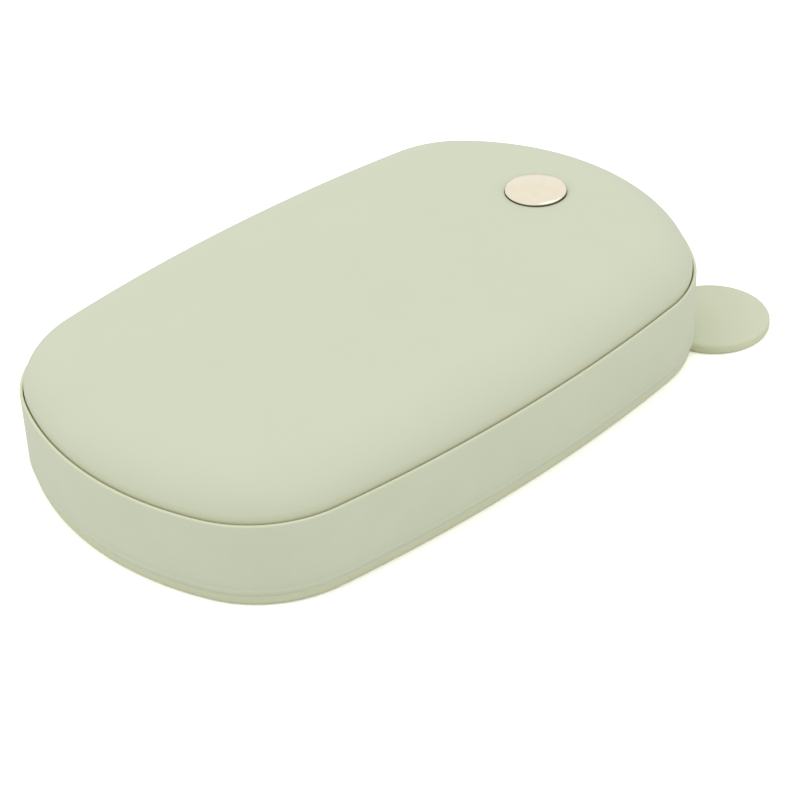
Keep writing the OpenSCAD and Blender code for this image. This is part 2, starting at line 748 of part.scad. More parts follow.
module lead(y, p, a, b, q) {
    n = lead_sides;
    r = lead_d / 2;
    points = [for (k = [0 : lead_rings])
        let (t = k / lead_rings, c = bend(p, a, b, q, t), d = bend_way(p, a, b, q, t))
        for (i = [0 : n - 1]) let (e = r * cos(360 * i / n), f = r * sin(360 * i / n))
            [c.x - d.y * e, y + f, c.y + d.x * e]];
    walls = [for (k = [0 : lead_rings - 1]) for (i = [0 : n - 1]) let (j = (i + 1) % n, s = k * n, u = s + n)
        each [[s + i, u + j, u + i], [s + i, s + j, u + j]]];
    first = [for (i = [n - 1 : -1 : 0]) i];
    last = [for (i = [0 : n - 1]) lead_rings * n + i];
    polyhedron(points, concat([first], walls, [last]));
}

module battery_leads() color([0.7, 0.1, 0.1]) for (s = [-1, 1]) {
    z = cell_top - cell_lead_drop;
    plug = [plug_x + plug_depth, lead_z];
    lead(s * lead_y, [guard_end, z], [guard_end + lead_pull, z], [plug_x - plug_pull, lead_z], plug);
}

// The upper and the lower heater film each send a pair of leads to their plug on the board
module heater_leads() color([0.1, 0.1, 0.1]) for (s = [-1, 1], w = [-1, 1]) {
    film_end = w > 0 ? top_film_z : film_z + film_t;
    pull = [lead_x, lead_z + w * lead_pull];
    plug = [plug_x + plug_depth, lead_z];
    lead(w * heater_y + s * lead_y, [lead_x, film_end], pull, [lead_x, lead_z], plug);
}

bottom_cover();
side_frame();
top_cover();
badge();
badge_tape();
top_heat_plate();
top_heater_film();
bottom_heat_plate();
bottom_heater_film();
battery_tray();
battery_cell();
battery_guard_board();
battery_foam_pads();
main_board();
usb_c_shell();
usb_c_tongue();
switch_body();
switch_plunger();
button_cap();
indicator_leds();
light_guide();
power_inductor();
charge_controller();
heat_controller();
heater_transistors();
board_capacitors();
battery_connector();
heater_connectors();
thermal_fuse();
thermistors();
tray_screws();
board_screws();
battery_leads();
heater_leads();
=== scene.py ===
"""Rechargeable hand warmer: the looks of every piece, in the order in which it is put together."""

import bmesh
import bpy
import numpy as np
from mathutils import Matrix, Vector


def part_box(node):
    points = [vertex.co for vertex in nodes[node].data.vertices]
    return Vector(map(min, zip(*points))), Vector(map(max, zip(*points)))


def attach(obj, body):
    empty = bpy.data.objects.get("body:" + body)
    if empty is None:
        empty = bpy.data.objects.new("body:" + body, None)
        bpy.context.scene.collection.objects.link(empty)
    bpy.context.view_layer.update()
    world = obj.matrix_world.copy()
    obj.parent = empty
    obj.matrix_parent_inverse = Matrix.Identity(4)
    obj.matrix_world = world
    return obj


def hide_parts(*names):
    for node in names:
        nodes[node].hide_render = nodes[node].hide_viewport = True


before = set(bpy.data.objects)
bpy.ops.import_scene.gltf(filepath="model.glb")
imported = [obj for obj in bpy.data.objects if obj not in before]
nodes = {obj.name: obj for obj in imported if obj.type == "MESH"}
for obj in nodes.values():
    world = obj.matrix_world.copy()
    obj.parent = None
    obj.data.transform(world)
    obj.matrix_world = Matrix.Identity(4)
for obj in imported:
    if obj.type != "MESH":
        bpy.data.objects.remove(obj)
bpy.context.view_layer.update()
mm = 0.001


# Bottom cover. A thin moulded base with a rounded edge and two ear tabs in one piece, in soft-touch coated
# plastic. It closes the body from below: its locating rib stands inside the frame, and hooks on the rib snap
# into the wall.
half_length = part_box("side_frame")[1].x
half_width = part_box("side_frame")[1].y
side_radius = 269 * mm
ear_end_radius = 39 * mm
plain_end_radius = 50.5 * mm
corner_radius = 19.7 * mm
point_step = 1.0 * mm


def corner_centre(end_radius):
    """Centre of the first quarter's corner arc, which touches the side's arc and the end's: where two circles
    about their centres cross, each with its arc's radius less the corner's."""
    side = np.array([0.0, half_width - side_radius])
    end = np.array([half_length - end_radius, 0.0])
    apart = np.linalg.norm(end - side)
    way = (end - side) / apart
    reach_side, reach_end = side_radius - corner_radius, end_radius - corner_radius
    along = (reach_side ** 2 - reach_end ** 2 + apart ** 2) / (2 * apart)
    return side + along * way + np.sqrt(reach_side ** 2 - along ** 2) * np.array([way[1], -way[0]])


def arc_limits(end_radius):
    """Directions, in the first quarter, in which the outline changes from end to corner and from corner to
    side: those from the end's centre and from the side's centre to the corner's."""
    centre = corner_centre(end_radius)
    end_limit = np.arctan2(centre[1], centre[0] - half_length + end_radius)
    side_limit = np.arctan2(centre[1] - half_width + side_radius, centre[0])
    return end_limit, side_limit


def arcs_at(facing):
    """Centre and radius of the outline's arc at each direction that it faces: the end's, the corner's or the
    side's, picked by that direction folded into the first quarter."""
    sign_x = np.where(np.cos(facing) >= 0, 1.0, -1.0)
    sign_y = np.where(np.sin(facing) >= 0, 1.0, -1.0)
    folded = np.arctan2(np.abs(np.sin(facing)), np.abs(np.cos(facing)))
    centre_x, centre_y, radius = np.zeros((3,) + np.shape(facing))
    for sign, end_radius in ((1.0, ear_end_radius), (-1.0, plain_end_radius)):
        corner = corner_centre(end_radius)
        end_limit, side_limit = arc_limits(end_radius)
        this_half = sign_x == sign
        at_end = this_half & (folded < end_limit)
        at_side = this_half & (folded > side_limit)
        arcs = [at_end, at_side, this_half & ~at_end & ~at_side]
        centre_x = np.select(arcs, [half_length - end_radius, 0.0, corner[0]], centre_x)
        centre_y = np.select(arcs, [0.0, half_width - side_radius, corner[1]], centre_y)
        radius = np.select(arcs, [end_radius, side_radius, corner_radius], radius)
    return centre_x * sign_x, centre_y * sign_y, radius


def facings(start, stop, step):
    """Directions from start to stop, without stop, whose points on the outline lie about step apart: each arc
    is divided evenly, so that every joint of two arcs has a point."""
    ear_end, ear_side = arc_limits(ear_end_radius)
    plain_end, plain_side = arc_limits(plain_end_radius)
    upper = [0.0, ear_end, ear_side, np.pi - plain_side, np.pi - plain_end, np.pi]
    one_turn = np.array(upper + [-joint for joint in upper[1:-1]])
    joints = np.concatenate([one_turn - 2 * np.pi, one_turn, one_turn + 2 * np.pi])
    joints = np.append(joints[(joints > start) & (joints < stop)], [start, stop])
    # Rounded, so that a joint that is met twice counts once
    joints = np.unique(np.round(joints, 9))
    runs = []
    for low, high in zip(joints[:-1], joints[1:]):
        radius = arcs_at(np.array((low + high) / 2))[2]
        count = max(2, int(np.ceil(radius * (high - low) / step)))
        runs.append(np.linspace(low, high, count, endpoint=False))
    return np.concatenate(runs)


def ring(facing, inset, height):
    """Points of the outline moved in by inset, at that height: from each arc's centre, its radius less the
    inset. Inset and height may differ from point to point."""
    x, y, radius = arcs_at(facing)
    reach = radius - inset
    return np.stack(np.broadcast_arrays(x + reach * np.cos(facing), y + reach * np.sin(facing), height), -1)


def sweep(facing, stations):
    """A row of points for each station (inset, height), carried round the outline."""
    return np.stack([ring(facing, inset, height) for inset, height in stations])


def rounding(centre, radius, start, stop, steps):
    """Stations on an arc in the plane of inset and height, where 0 degrees faces outwards and 90 upwards."""
    angles = np.radians(np.linspace(start, stop, steps + 1))
    return [(centre[0] - radius * np.cos(a), centre[1] + radius * np.sin(a)) for a in angles]


def closing(facing, inset, height_at, steps):
    """Rows that close a cap: a ring shrunk evenly to its middle, each row at the height for its share."""
    shares = np.linspace(1.0, 0.0, steps + 1)
    rows = ring(facing, inset, 0.0)[None] * shares[:, None, None]
    rows[..., 2] = np.array([height_at(share) for share in shares])[:, None]
    return rows


def quads(points, keep=None):
    """Points and faces of a grid whose last column joins its first; keep has one flag for each face."""
    rows, columns = points.shape[:2]
    index = np.arange(rows * columns).reshape(rows, columns)
    index = np.column_stack([index, index[:, 0]])
    faces = np.stack([index[:-1, :-1], index[:-1, 1:], index[1:, 1:], index[1:, :-1]], -1)
    return points.reshape(-1, 3), faces.reshape(-1, 4) if keep is None else faces[keep]


def revolve(profile, centre, steps):
    """A profile of (radius, height) pairs turned round an upright axis, closed where the radius is 0."""
    turn = np.linspace(0, 2 * np.pi, steps, endpoint=False)
    radius, height = np.array(profile).T
    upright = np.repeat(height[:, None], steps, 1)
    rows = [radius[:, None] * np.cos(turn), radius[:, None] * np.sin(turn), upright]
    return quads(np.stack(rows, -1) + np.array(centre))


def posts(radius, low, high, places, steps):
    """Plain round posts from low to high, one about each place: a rectangle turned round its long edge."""
    profile = [(0.0, low), (radius, low), (radius, high), (0.0, high)]
    return [revolve(profile, place, steps) for place in places]


def bar(section, middle, place, outward, width):
    """A bar of that width whose section, in pairs of way out and height, is set at a place and faces outward.
    Each end is a fan of faces round the section's middle, from which all of the section can be seen."""
    out = np.array([np.cos(outward), np.sin(outward)])
    along = np.array([-out[1], out[0]])
    outline, inside = np.array(section), np.repeat([middle], len(section), 0)
    rows = []
    for loop, side in ((inside, -1), (outline, -1), (outline, 1), (inside, 1)):
        flat = np.array(place) + loop[:, :1] * out + side * width / 2 * along
        rows.append(np.column_stack([flat, loop[:, 1]]))
    return quads(np.stack(rows))


def smooth(mesh, sharp_degrees=35.0):
    """Shades a mesh smooth, with crisp edges where its faces meet at more than that angle."""
    mesh.shade_smooth()
    mesh.set_sharp_from_angle(angle=np.radians(sharp_degrees))


def make_piece(name, patches):
    """One closed object from patches of points and faces. Points that patches share are merged."""
    merge_distance = 0.002 * mm
    starts = np.cumsum([0] + [len(points) for points, _ in patches])
    points = np.concatenate([points for points, _ in patches])
    faces = np.concatenate([part + start for start, (_, part) in zip(starts, patches)])
    mesh = bpy.data.meshes.new(name)
    mesh.from_pydata(points, [], faces)
    work = bmesh.new()
    work.from_mesh(mesh)
    bmesh.ops.remove_doubles(work, verts=work.verts, dist=merge_distance)
    bmesh.ops.delete(work, geom=[v for v in work.verts if not v.link_faces], context="VERTS")
    bmesh.ops.recalc_face_normals(work, faces=work.faces)
    work.to_mesh(mesh)
    work.free()
    smooth(mesh)
    piece = bpy.data.objects.new(name, mesh)
    bpy.context.scene.collection.objects.link(piece)
    return piece


def combine(piece, patches, operation):
    """Joins a solid made of the patches to the piece, or cuts it out, and leaves one clean closed mesh."""
    tool = make_piece("tool", patches)
    change = piece.modifiers.new("change", "BOOLEAN")
    change.operation = operation
    change.solver = "EXACT"
    change.object = tool
    changed = bpy.data.meshes.new_from_object(piece.evaluated_get(bpy.context.evaluated_depsgraph_get()))
    piece.modifiers.clear()
    piece.data = changed
    smooth(changed)
    bpy.data.objects.remove(tool)


def dress(piece, body, slot, material, *replaced):
    """Gives the piece its material and its body, and hides the nodes that it stands for. The slot is not
    used.
    """
    piece.data.materials.clear()
    piece.data.materials.append(material)
    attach(piece, body)
    if replaced:
        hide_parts(*replaced)


def wire(tree, start, end):
    """Links two sockets of a node tree, each given as (node, socket name or number)."""
    tree.links.new(start[0].outputs[start[1]], end[0].inputs[end[1]])


def set_values(node, values):
    """Sets constants on a node's own sockets, given by their names."""
    for socket, value in values.items():
        node.inputs[socket].default_value = value


def new_finish(name):
    """A plain new material, with its node tree and its shader."""
    material = bpy.data.materials.new(name)
    material.use_nodes = True
    return material, material.node_tree, material.node_tree.nodes["Principled BSDF"]


def pattern(tree, kind, size, stretch=(1.0, 1.0, 1.0)):
    """A texture on the piece's own coordinates, its features about that size, stretched along each axis."""
    place = tree.nodes.new("ShaderNodeTexCoord")
    fit = tree.nodes.new("ShaderNodeMapping")
    set_values(fit, {"Scale": [1.0 / (size * s) for s in stretch]})
    texture = tree.nodes.new(kind)
    set_values(texture, {"Scale": 1.0})
    wire(tree, (place, "Object"), (fit, "Vector"))
    wire(tree, (fit, "Vector"), (texture, "Vector"))
    return texture


def rescaled(tree, source, low, high, start, stop):
    """A node that turns a value that runs from low to high into one that runs from start to stop."""
    share = tree.nodes.new("ShaderNodeMapRange")
    set_values(share, {"From Min": low, "From Max": high, "To Min": start, "To Max": stop})
    wire(tree, source, (share, "Value"))
    return share


def tones(tree, source, stops):
    """A node that turns a value from 0 to 1 into linear colours, given as (place, colour) stops."""
    ramp = tree.nodes.new("ShaderNodeValToRGB")
    for element, (place, colour) in zip(ramp.color_ramp.elements, stops):
        element.position = place
        element.color = (*colour, 1.0)
    wire(tree, source, (ramp, "Fac"))
    return ramp


def lead_in(tree, colour, polish):
    """Leads a node's colour and another's roughness to the shader."""
    shader = tree.nodes["Principled BSDF"]
    wire(tree, (colour, "Color"), (shader, "Base Color"))
    wire(tree, (polish, "Result"), (shader, "Roughness"))


def raised(tree, source, distance):
    """A bump of about that height from a value, led to the shader's normal."""
    bump = tree.nodes.new("ShaderNodeBump")
    set_values(bump, {"Distance": distance, "Strength": 0.6})
    wire(tree, source, (bump, "Height"))
    wire(tree, (bump, "Normal"), (tree.nodes["Principled BSDF"], "Normal"))


# Most of a noise texture's values lie between these two
noise_low, noise_high = 0.3, 0.7


def finish_of(name, light, dark, patch, roughness, grain, relief, metallic=0.0):
    """A material whose colour and roughness drift in patches, with a fine grain raised by relief."""
    roughness_drift = 0.05
    material, tree, shader = new_finish(name)
    set_values(shader, {"Metallic": metallic})
    clouds = pattern(tree, "ShaderNodeTexNoise", patch)
    set_values(clouds, {"Detail": 4.0})
    polish_range = roughness - roughness_drift, roughness + roughness_drift
    lead_in(
        tree,
        tones(tree, (clouds, "Fac"), [(noise_low, dark), (noise_high, light)]),
        rescaled(tree, (clouds, "Fac"), noise_low, noise_high, *polish_range),
    )
    fine = pattern(tree, "ShaderNodeTexNoise", grain)
    set_values(fine, {"Detail": 3.0})
    raised(tree, (fine, "Fac"), relief)
    return material


def sage_plastic(name, light, dark, patch, grain, relief):
    """Pale sage-green moulded plastic with a soft-touch coat: fine grain, faint clouds and a little sheen."""
    material = finish_of(name, light, dark, patch, roughness=0.5, grain=grain, relief=relief)
    shader = material.node_tree.nodes["Principled BSDF"]
    set_values(shader, {"Specular IOR Level": 0.35, "Sheen Weight": 0.08, "Sheen Roughness": 0.5})
    return material


def blend_by_height(material, none_at, all_at, tone):
    """Blends another tone into a finish: none of it at the first height, all of it from the second on."""
    tree = material.node_tree
    colour = tree.nodes["Principled BSDF"].inputs["Base Color"]
    coat = colour.links[0].from_socket
    place = tree.nodes.new("ShaderNodeTexCoord")
    split = tree.nodes.new("ShaderNodeSeparateXYZ")
    blend = tree.nodes.new("ShaderNodeMix")
    blend.data_type = "RGBA"
    set_values(blend, {"B": (*tone, 1.0)})
    wire(tree, (place, "Object"), (split, "Vector"))
    share = rescaled(tree, (split, "Z"), none_at, all_at, 0.0, 1.0)
    wire(tree, (share, "Result"), (blend, "Factor"))
    tree.links.new(coat, blend.inputs["A"])
    tree.links.new(blend.outputs["Result"], colour)


seam_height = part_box("side_frame")[0].z
wall = 1.8 * mm
seam_gap = 0.15 * mm
fit_gap = 0.2 * mm
foot_inset = 0.5 * mm
base_rounding = 0.9 * mm
seam_edge = 0.06 * mm
rib_inset = wall + seam_gap
rib_thickness = 1.0 * mm
rib_inside = rib_inset + rib_thickness
rib_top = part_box("bottom_cover")[1].z
rib_edge = 0.15 * mm
floor_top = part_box("bottom_heat_plate")[0].z
ear_thickness = 1.7 * mm
ear_back = 4.4 * mm
ear_aside = 9.0 * mm
ear_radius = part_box("bottom_cover")[1].x - half_length + ear_back
ear_edge = 0.5 * mm
ear_steps = 128
hook_width = 5 * mm
hook_reach = 0.5 * mm
hook_face = 0.3 * mm
hook_root = 0.4 * mm
hook_height = 1.1 * mm
hook_drop = 0.2 * mm
hook_low = rib_top - hook_drop - hook_height
hook_aside = 26 * mm
boss_radius = 2.4 * mm
boss_inset = 5.4 * mm
boss_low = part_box("battery_cell")[0].z
boss_steps = 48

all_round = facings(0.0, 2 * np.pi, point_step)
bottom_cover = make_piece("bottom_cover_moulding", [
    quads(closing(all_round, foot_inset + base_rounding, lambda share: 0.0, steps=8)),
    quads(sweep(all_round, [
        *rounding((foot_inset + base_rounding, base_rounding), base_rounding, -90, 0, steps=8),
        *rounding((foot_inset + seam_edge, seam_height - seam_edge), seam_edge, 0, 90, steps=3),
        (rib_inset, seam_height),
        *rounding((rib_inset + rib_edge, rib_top - rib_edge), rib_edge, 0, 90, steps=3),
        *rounding((rib_inside - rib_edge, rib_top - rib_edge), rib_edge, 90, 180, steps=3),
        (rib_inside, floor_top),
    ])),
    quads(closing(all_round, rib_inside, lambda share: floor_top, steps=8)),
])
under = np.radians(np.linspace(-90, 0, 9))
over = np.radians(np.linspace(0, 90, 9))
ear_profile = [
    (0.0, 0.0),
    *[(ear_radius - ear_edge * (1 - np.cos(a)), ear_edge * (1 + np.sin(a))) for a in under],
    *[(ear_radius - ear_edge * (1 - np.cos(a)), ear_thickness - ear_edge * (1 - np.sin(a))) for a in over],
    (0.0, ear_thickness),
]
for side in (-1, 1):
    ear_centre = (half_length - ear_back, side * (half_width - ear_aside), 0.0)
    combine(bottom_cover, [revolve(ear_profile, ear_centre, ear_steps)], "UNION")

# The eight snap fits, three on each long side and one at each end: the place on the outline and the way out
long_side = [np.arccos(x / side_radius) for x in (-hook_aside, 0.0, hook_aside)]
snap_ways = np.array([0.0, *long_side, np.pi, *[-way for way in long_side]])
snap_fits = [(place[:2], way) for place, way in zip(ring(snap_ways, 0.0, 0.0), snap_ways)]
hook = [
    (-hook_root, 0.0),
    (hook_reach, 0.0),
    (hook_reach, hook_face),
    (0.0, hook_height),
    (-hook_root, hook_height),
]
hook = [(out - rib_inset, height + hook_low) for out, height in hook]
hook_middle = (-rib_inset, hook_low + hook_face)
combine(bottom_cover, [bar(hook, hook_middle, place, way, hook_width) for place, way in snap_fits], "UNION")

# The rib gives way to the frame's four screw bosses, which stand at the middle of each corner's arc
boss_places = []
for sign, end_radius in ((1, ear_end_radius), (-1, plain_end_radius)):
    way = sum(arc_limits(end_radius)) / 2
    spot = corner_centre(end_radius) + (corner_radius - boss_inset) * np.array([np.cos(way), np.sin(way)])
    boss_places += [(sign * spot[0], spot[1], 0.0), (sign * spot[0], -spot[1], 0.0)]
notches = posts(boss_radius + fit_gap, boss_low - fit_gap, 2 * rib_top, boss_places, boss_steps)
combine(bottom_cover, notches, "DIFFERENCE")
# Painted light: the base is a lighter, warmer copy of the cover's plastic, standing in for light bounced up
# from the floor
base_finish = sage_plastic(
    "base_plastic",
    light=(0.74, 0.765, 0.535), dark=(0.715, 0.74, 0.515), patch=9 * mm, grain=0.2 * mm, relief=0.016 * mm,
)
# Painted light: from the ears' up-facing flat tops upwards, the plastic is blended a shade cooler
ear_shoulder = ear_thickness - 0.15 * mm
ear_top = ear_thickness - 0.05 * mm
blend_by_height(base_finish, ear_shoulder, ear_top, (0.73, 0.766, 0.583))
dress(bottom_cover, "housing", "base_plastic", base_finish, "bottom_cover")


# Heat plates and heater films. Two thin sheets of rolled aluminium, one on the floor and one under the dome,
# spread the heat. On each lies an amber polyimide film with an etched heating track, stuck down with its own
# adhesive.
def scaled_tone(tone, factor):
    """The tone with each of its channels times the factor."""
    return tuple(factor * channel for channel in tone)


def sheet_metal(name, tone):
    """Bare rolled aluminium: fine lines along the way it was rolled, in the colour and the roughness."""
    material, tree, shader = new_finish(name)
    set_values(shader, {"Metallic": 1.0})
    lines = pattern(tree, "ShaderNodeTexNoise", size=0.25 * mm, stretch=(80.0, 1.0, 1.0))
    set_values(lines, {"Detail": 5.0})
    lead_in(
        tree,
        tones(tree, (lines, "Fac"), [(noise_low, scaled_tone(tone, 0.9)), (noise_high, tone)]),
        rescaled(tree, (lines, "Fac"), noise_low, noise_high, start=0.32, stop=0.45),
    )
    raised(tree, (lines, "Fac"), distance=0.004 * mm)
    return material


def track_film(name, film, track, pitch):
    """Amber film over an etched metal track that runs to and fro in even bands, pitch apart."""
    bands_in_one = 3.18
    film_ends, track_starts = 0.45, 0.5
    material, tree, shader = new_finish(name)
    set_values(shader, {"Coat Weight": 0.3})
    bands = pattern(tree, "ShaderNodeTexWave", size=bands_in_one * pitch)
    bands.bands_direction = "X"
    lead_in(
        tree,
        tones(tree, (bands, "Fac"), [(film_ends, film), (track_starts, track)]),
        rescaled(tree, (bands, "Fac"), film_ends, track_starts, start=0.22, stop=0.3),
    )
    raised(tree, (bands, "Fac"), distance=0.02 * mm)
    return material


def repaint(finish, *names):
    """Gives the finish to modelled parts whose shape is right as it stands."""
    for name in names:
        nodes[name].data.materials.clear()
        nodes[name].data.materials.append(finish)


repaint(sheet_metal("aluminium", (0.78, 0.79, 0.80)), "top_heat_plate", "bottom_heat_plate")
film_finish = track_film("polyimide", film=(0.52, 0.20, 0.03), track=(0.30, 0.12, 0.03), pitch=2.4 * mm)
repaint(film_finish, "top_heater_film", "bottom_heater_film")


# Side frame. The moulded wall of the body, with a crisp rim, a foot that turns in to the base, and a ledge
# inside for the top cover. The eared end has the openings for the charging socket, the power button and four
# light dots.
rim_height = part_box("side_frame")[1].z
rim_rounding = 0.2 * mm
foot_height = 1.4 * mm
foot_top = seam_height + foot_height
foot_curve = 3
crease_depth = 0.03 * mm
crease_width = 0.35 * mm
lip = 0.5 * mm
lip_edge = 0.08 * mm
seat_depth = 1.6 * mm
seat_height = rim_height - seat_depth
ledge_width = 2.6 * mm
ledge_inset = wall + ledge_width
ledge_thickness = 1.2 * mm
ledge_low = seat_height - ledge_thickness
slide_gap = 0.15 * mm
pin_gap = 0.1 * mm
button_middle = -12 * mm
button_width, button_height = 9 * mm, 4.2 * mm
socket_width, socket_height = 8.94 * mm, 3.26 * mm
light_width = 1.6 * mm
light_hole = light_width + 2 * pin_gap
light_pitch = 3 * mm
light_start = 8 * mm
light_count = 4
ports_height = 8 * mm
port_reach = 6 * mm
port_edge = 0.2 * mm
port_step = 0.5 * mm
port_rows = 12
window_low, window_high = 4.6 * mm, 11.2 * mm
window_heights = np.linspace(window_low, window_high, port_rows + 1)

# Each opening: its middle across the body, how far to each side its window is cut, its width and its height
ports = [
    (button_middle, port_reach, button_width + 2 * slide_gap, button_height + 2 * slide_gap),
    (0.0, port_reach, socket_width + 2 * slide_gap, socket_height + 2 * slide_gap),
    *[(light_start + i * light_pitch, light_pitch / 2, light_hole, light_hole) for i in range(light_count)],
]
ports_start, ports_stop = ports[0][0] - ports[0][1], ports[-1][0] + ports[-1][1]


def wall_x(y, inset):
    """Place along the body of the eared end's wall at y, moved in by inset: the circle of the end's arc."""
    return half_length - ear_end_radius + np.sqrt((ear_end_radius - inset) ** 2 - y ** 2)


def square_to_end(facing, inset):
    """Turns the facings at the eared end so that a column keeps its y at any inset, as their sine grows while
    the radius shrinks. This fades from the ports to the corners."""
    folded = (facing + np.pi) % (2 * np.pi) - np.pi
    fade = [0, np.arcsin(ports_stop / ear_end_radius), arc_limits(ear_end_radius)[0]]
    held = np.interp(np.abs(folded), fade, [1, 1, 0])
    level = np.arcsin(np.clip(ear_end_radius * np.sin(folded) / (ear_end_radius - inset), -1, 1))
    return folded + held * (level - folded)


def pill_reach(way, width, height):
    """How far a pill's edge lies from its middle in each unit direction: at a flat edge or on a round end."""
    nearly_level = 1e-9
    radius, straight = height / 2, (width - height) / 2
    across, upwards = np.abs(way[..., 0]), np.abs(way[..., 1])
    flat = radius / np.maximum(upwards, nearly_level)
    bend = straight * across + np.sqrt(np.maximum(radius ** 2 - (straight * upwards) ** 2, 0.0))
    return np.where(flat * across <= straight, flat, bend)


def columns_over(low_y, high_y):
    """Places across the body from low_y to high_y, without high_y, a port's step apart."""
    return low_y + port_step * np.arange(round((high_y - low_y) / port_step))


def port_patch(middle, reach, width, height):
    """Skin of one opening: each row lies a share of the way from the window's border to the opening's edge.
    The rows run in to the rounded edge outside, through the wall, and back to the border inside."""
    low_y, high_y = middle - reach, middle + reach
    across = columns_over(low_y, high_y)
    upwards = window_heights[:-1]
    border = np.concatenate([
        np.stack([across, np.full(len(across), window_low)], -1),
        np.stack([np.full(port_rows, high_y), upwards], -1),
        np.stack([low_y + high_y - across, np.full(len(across), window_high)], -1),
        np.stack([np.full(port_rows, low_y), window_low + window_high - upwards], -1),
    ])
    centre = np.array([middle, ports_height])
    way = (border - centre) / np.linalg.norm(border - centre, axis=1, keepdims=True)

    def row(spread, share, inset):
        edge = centre + way * pill_reach(way, width + 2 * spread, height + 2 * spread)[:, None]
        y, z = (border + share * (edge - border)).T
        return np.stack([wall_x(y, inset), y, z], -1)

    outside, inside = np.linspace(0, 1, 7)[:-1], np.linspace(1, 0, 5)
    turns = np.radians(np.linspace(0, 90, 5))
    rows = [row(port_edge, share, 0.0) for share in outside]
    rows += [row(port_edge * (1 - np.sin(a)), 1.0, port_edge * (1 - np.cos(a))) for a in turns]
    rows += [row(0.0, share, wall) for share in inside]
    return quads(np.stack(rows))


def foot_at(height):
    """Inset of the wall's foot: a steep power of the way down, and a shallow half-wave crease at its top."""
    down = np.clip((foot_top - height) / (foot_top - seam_height), 0, 1)
    off_crease = np.clip((height - foot_top) / crease_width, -0.5, 0.5)
    return foot_inset * down ** foot_curve + crease_depth * np.cos(np.pi * off_crease)


def box_section(inner, outer, low, high):
    """Section of a box in the plane of way out and height, with its middle."""
    return [(inner, low), (outer, low), (outer, high), (inner, high)], ((inner + outer) / 2, (low + high) / 2)


port_columns = columns_over(ports_start, ports_stop)
ports_from, ports_to = np.arcsin(ports_start / ear_end_radius), np.arcsin(ports_stop / ear_end_radius)
wall_facings = np.append(
    np.arcsin(port_columns / ear_end_radius),
    facings(ports_to, 2 * np.pi + ports_from, point_step),
)
foot_heights = np.linspace(seam_height + seam_edge, foot_top + crease_width / 2, 25)
wall_stations = [
    (foot_inset + seam_edge, seam_height),
    *zip(foot_at(foot_heights), foot_heights),
    *[(0.0, z) for z in window_heights],
    *rounding((rim_rounding, rim_height - rim_rounding), rim_rounding, 0, 90, steps=6),
    *rounding((lip - lip_edge, rim_height - lip_edge), lip_edge, 90, 180, steps=3),
    (lip, seat_height),
    (ledge_inset, seat_height),
    (ledge_inset, ledge_low),
    (wall, ledge_low),
    *[(wall, z) for z in window_heights[::-1]],
    (wall, seam_height),
    (foot_inset + seam_edge, seam_height),
]
wall_grid = np.stack([ring(square_to_end(wall_facings, inset), inset, z) for inset, z in wall_stations])

# The grid's faces inside an opening's window make room for that opening's skin
tolerance = 0.001 * mm
station_inset, station_z = np.array(wall_stations).T
in_window = (station_z > window_low - tolerance) & (station_z < window_high + tolerance)
in_window &= (station_inset == 0.0) | (station_inset == wall)
row_cut = in_window[:-1] & in_window[1:] & (station_inset[:-1] == station_inset[1:])
column_middle = port_columns + port_step / 2
column_cut = np.zeros(len(wall_facings), bool)
for middle, reach, _, _ in ports:
    column_cut[:len(port_columns)] |= np.abs(column_middle - middle) < reach
side_frame = make_piece("side_frame_moulding", [
    quads(wall_grid, keep=~(row_cut[:, None] & column_cut[None, :])),
    *[port_patch(*port) for port in ports],
])

# Inside, four screw bosses stand under the ledge. From each, one arm runs along the body and one across it,
# as far as the wall of that corner
arm_width = 1.2 * mm
arm_end_inset = 1.0 * mm
screw_radius = 0.8 * mm
bore_depth = 6 * mm
sunk = 0.03 * mm
combine(side_frame, posts(boss_radius, boss_low, seat_height - sunk, boss_places, boss_steps), "UNION")
arm_low, arm_high = rib_top + fit_gap, seat_height - 2 * sunk
for axis in (0, 1):
    arms = []
    for x, y, _ in boss_places:
        end_radius = ear_end_radius if x > 0 else plain_end_radius
        away = np.array([x, y]) - np.sign([x, y]) * corner_centre(end_radius)
        side_step = away[1 - axis]
        reach = np.sqrt((corner_radius - arm_end_inset) ** 2 - side_step ** 2) - abs(away[axis])
        outward = [np.arctan2(0.0, x), np.arctan2(y, 0.0)][axis]
        arms.append(bar(*box_section(0.0, reach, arm_low, arm_high), (x, y), outward, arm_width))
    combine(side_frame, arms, "UNION")
bores = posts(screw_radius + pin_gap, 0.0, boss_low + bore_depth, boss_places, steps=32)
combine(side_frame, bores, "DIFFERENCE")

# The wall has a catch for each hook of the base, and the ledge a slot for each tab of the top cover
tab_thickness = 1.0 * mm
catch_width = hook_width + 2 * fit_gap
catch_over = 1 * mm
catch_out = hook_reach + fit_gap - rib_inset
slot_inset = wall + 2 * fit_gap + tab_thickness + hook_reach
slot_over = 0.5 * mm
hook_catch = box_section(-wall - catch_over, catch_out, hook_low - fit_gap, hook_low + hook_height + fit_gap)
tab_slot = box_section(-slot_inset, -wall, ledge_low - slot_over, seat_height + slot_over)
for section in (hook_catch, tab_slot):
    combine(side_frame, [bar(*section, place, way, catch_width) for place, way in snap_fits], "DIFFERENCE")
# Painted light: the wall is a lighter copy of the cover's plastic, standing in for more light on its upright
# sides
wall_finish = sage_plastic(
    "wall_plastic",
    light=(0.72, 0.765, 0.585), dark=(0.70, 0.745, 0.565), patch=6 * mm, grain=0.2 * mm, relief=0.02 * mm,
)
# Painted highlight: the rim's top is blended to a thin pale line
rim_highlight_start = rim_height - 0.03 * mm
rim_highlight_full = rim_height - 0.01 * mm
blend_by_height(wall_finish, rim_highlight_start, rim_highlight_full, (0.83, 0.845, 0.62))
dress(side_frame, "housing", "wall_plastic", wall_finish, "side_frame")


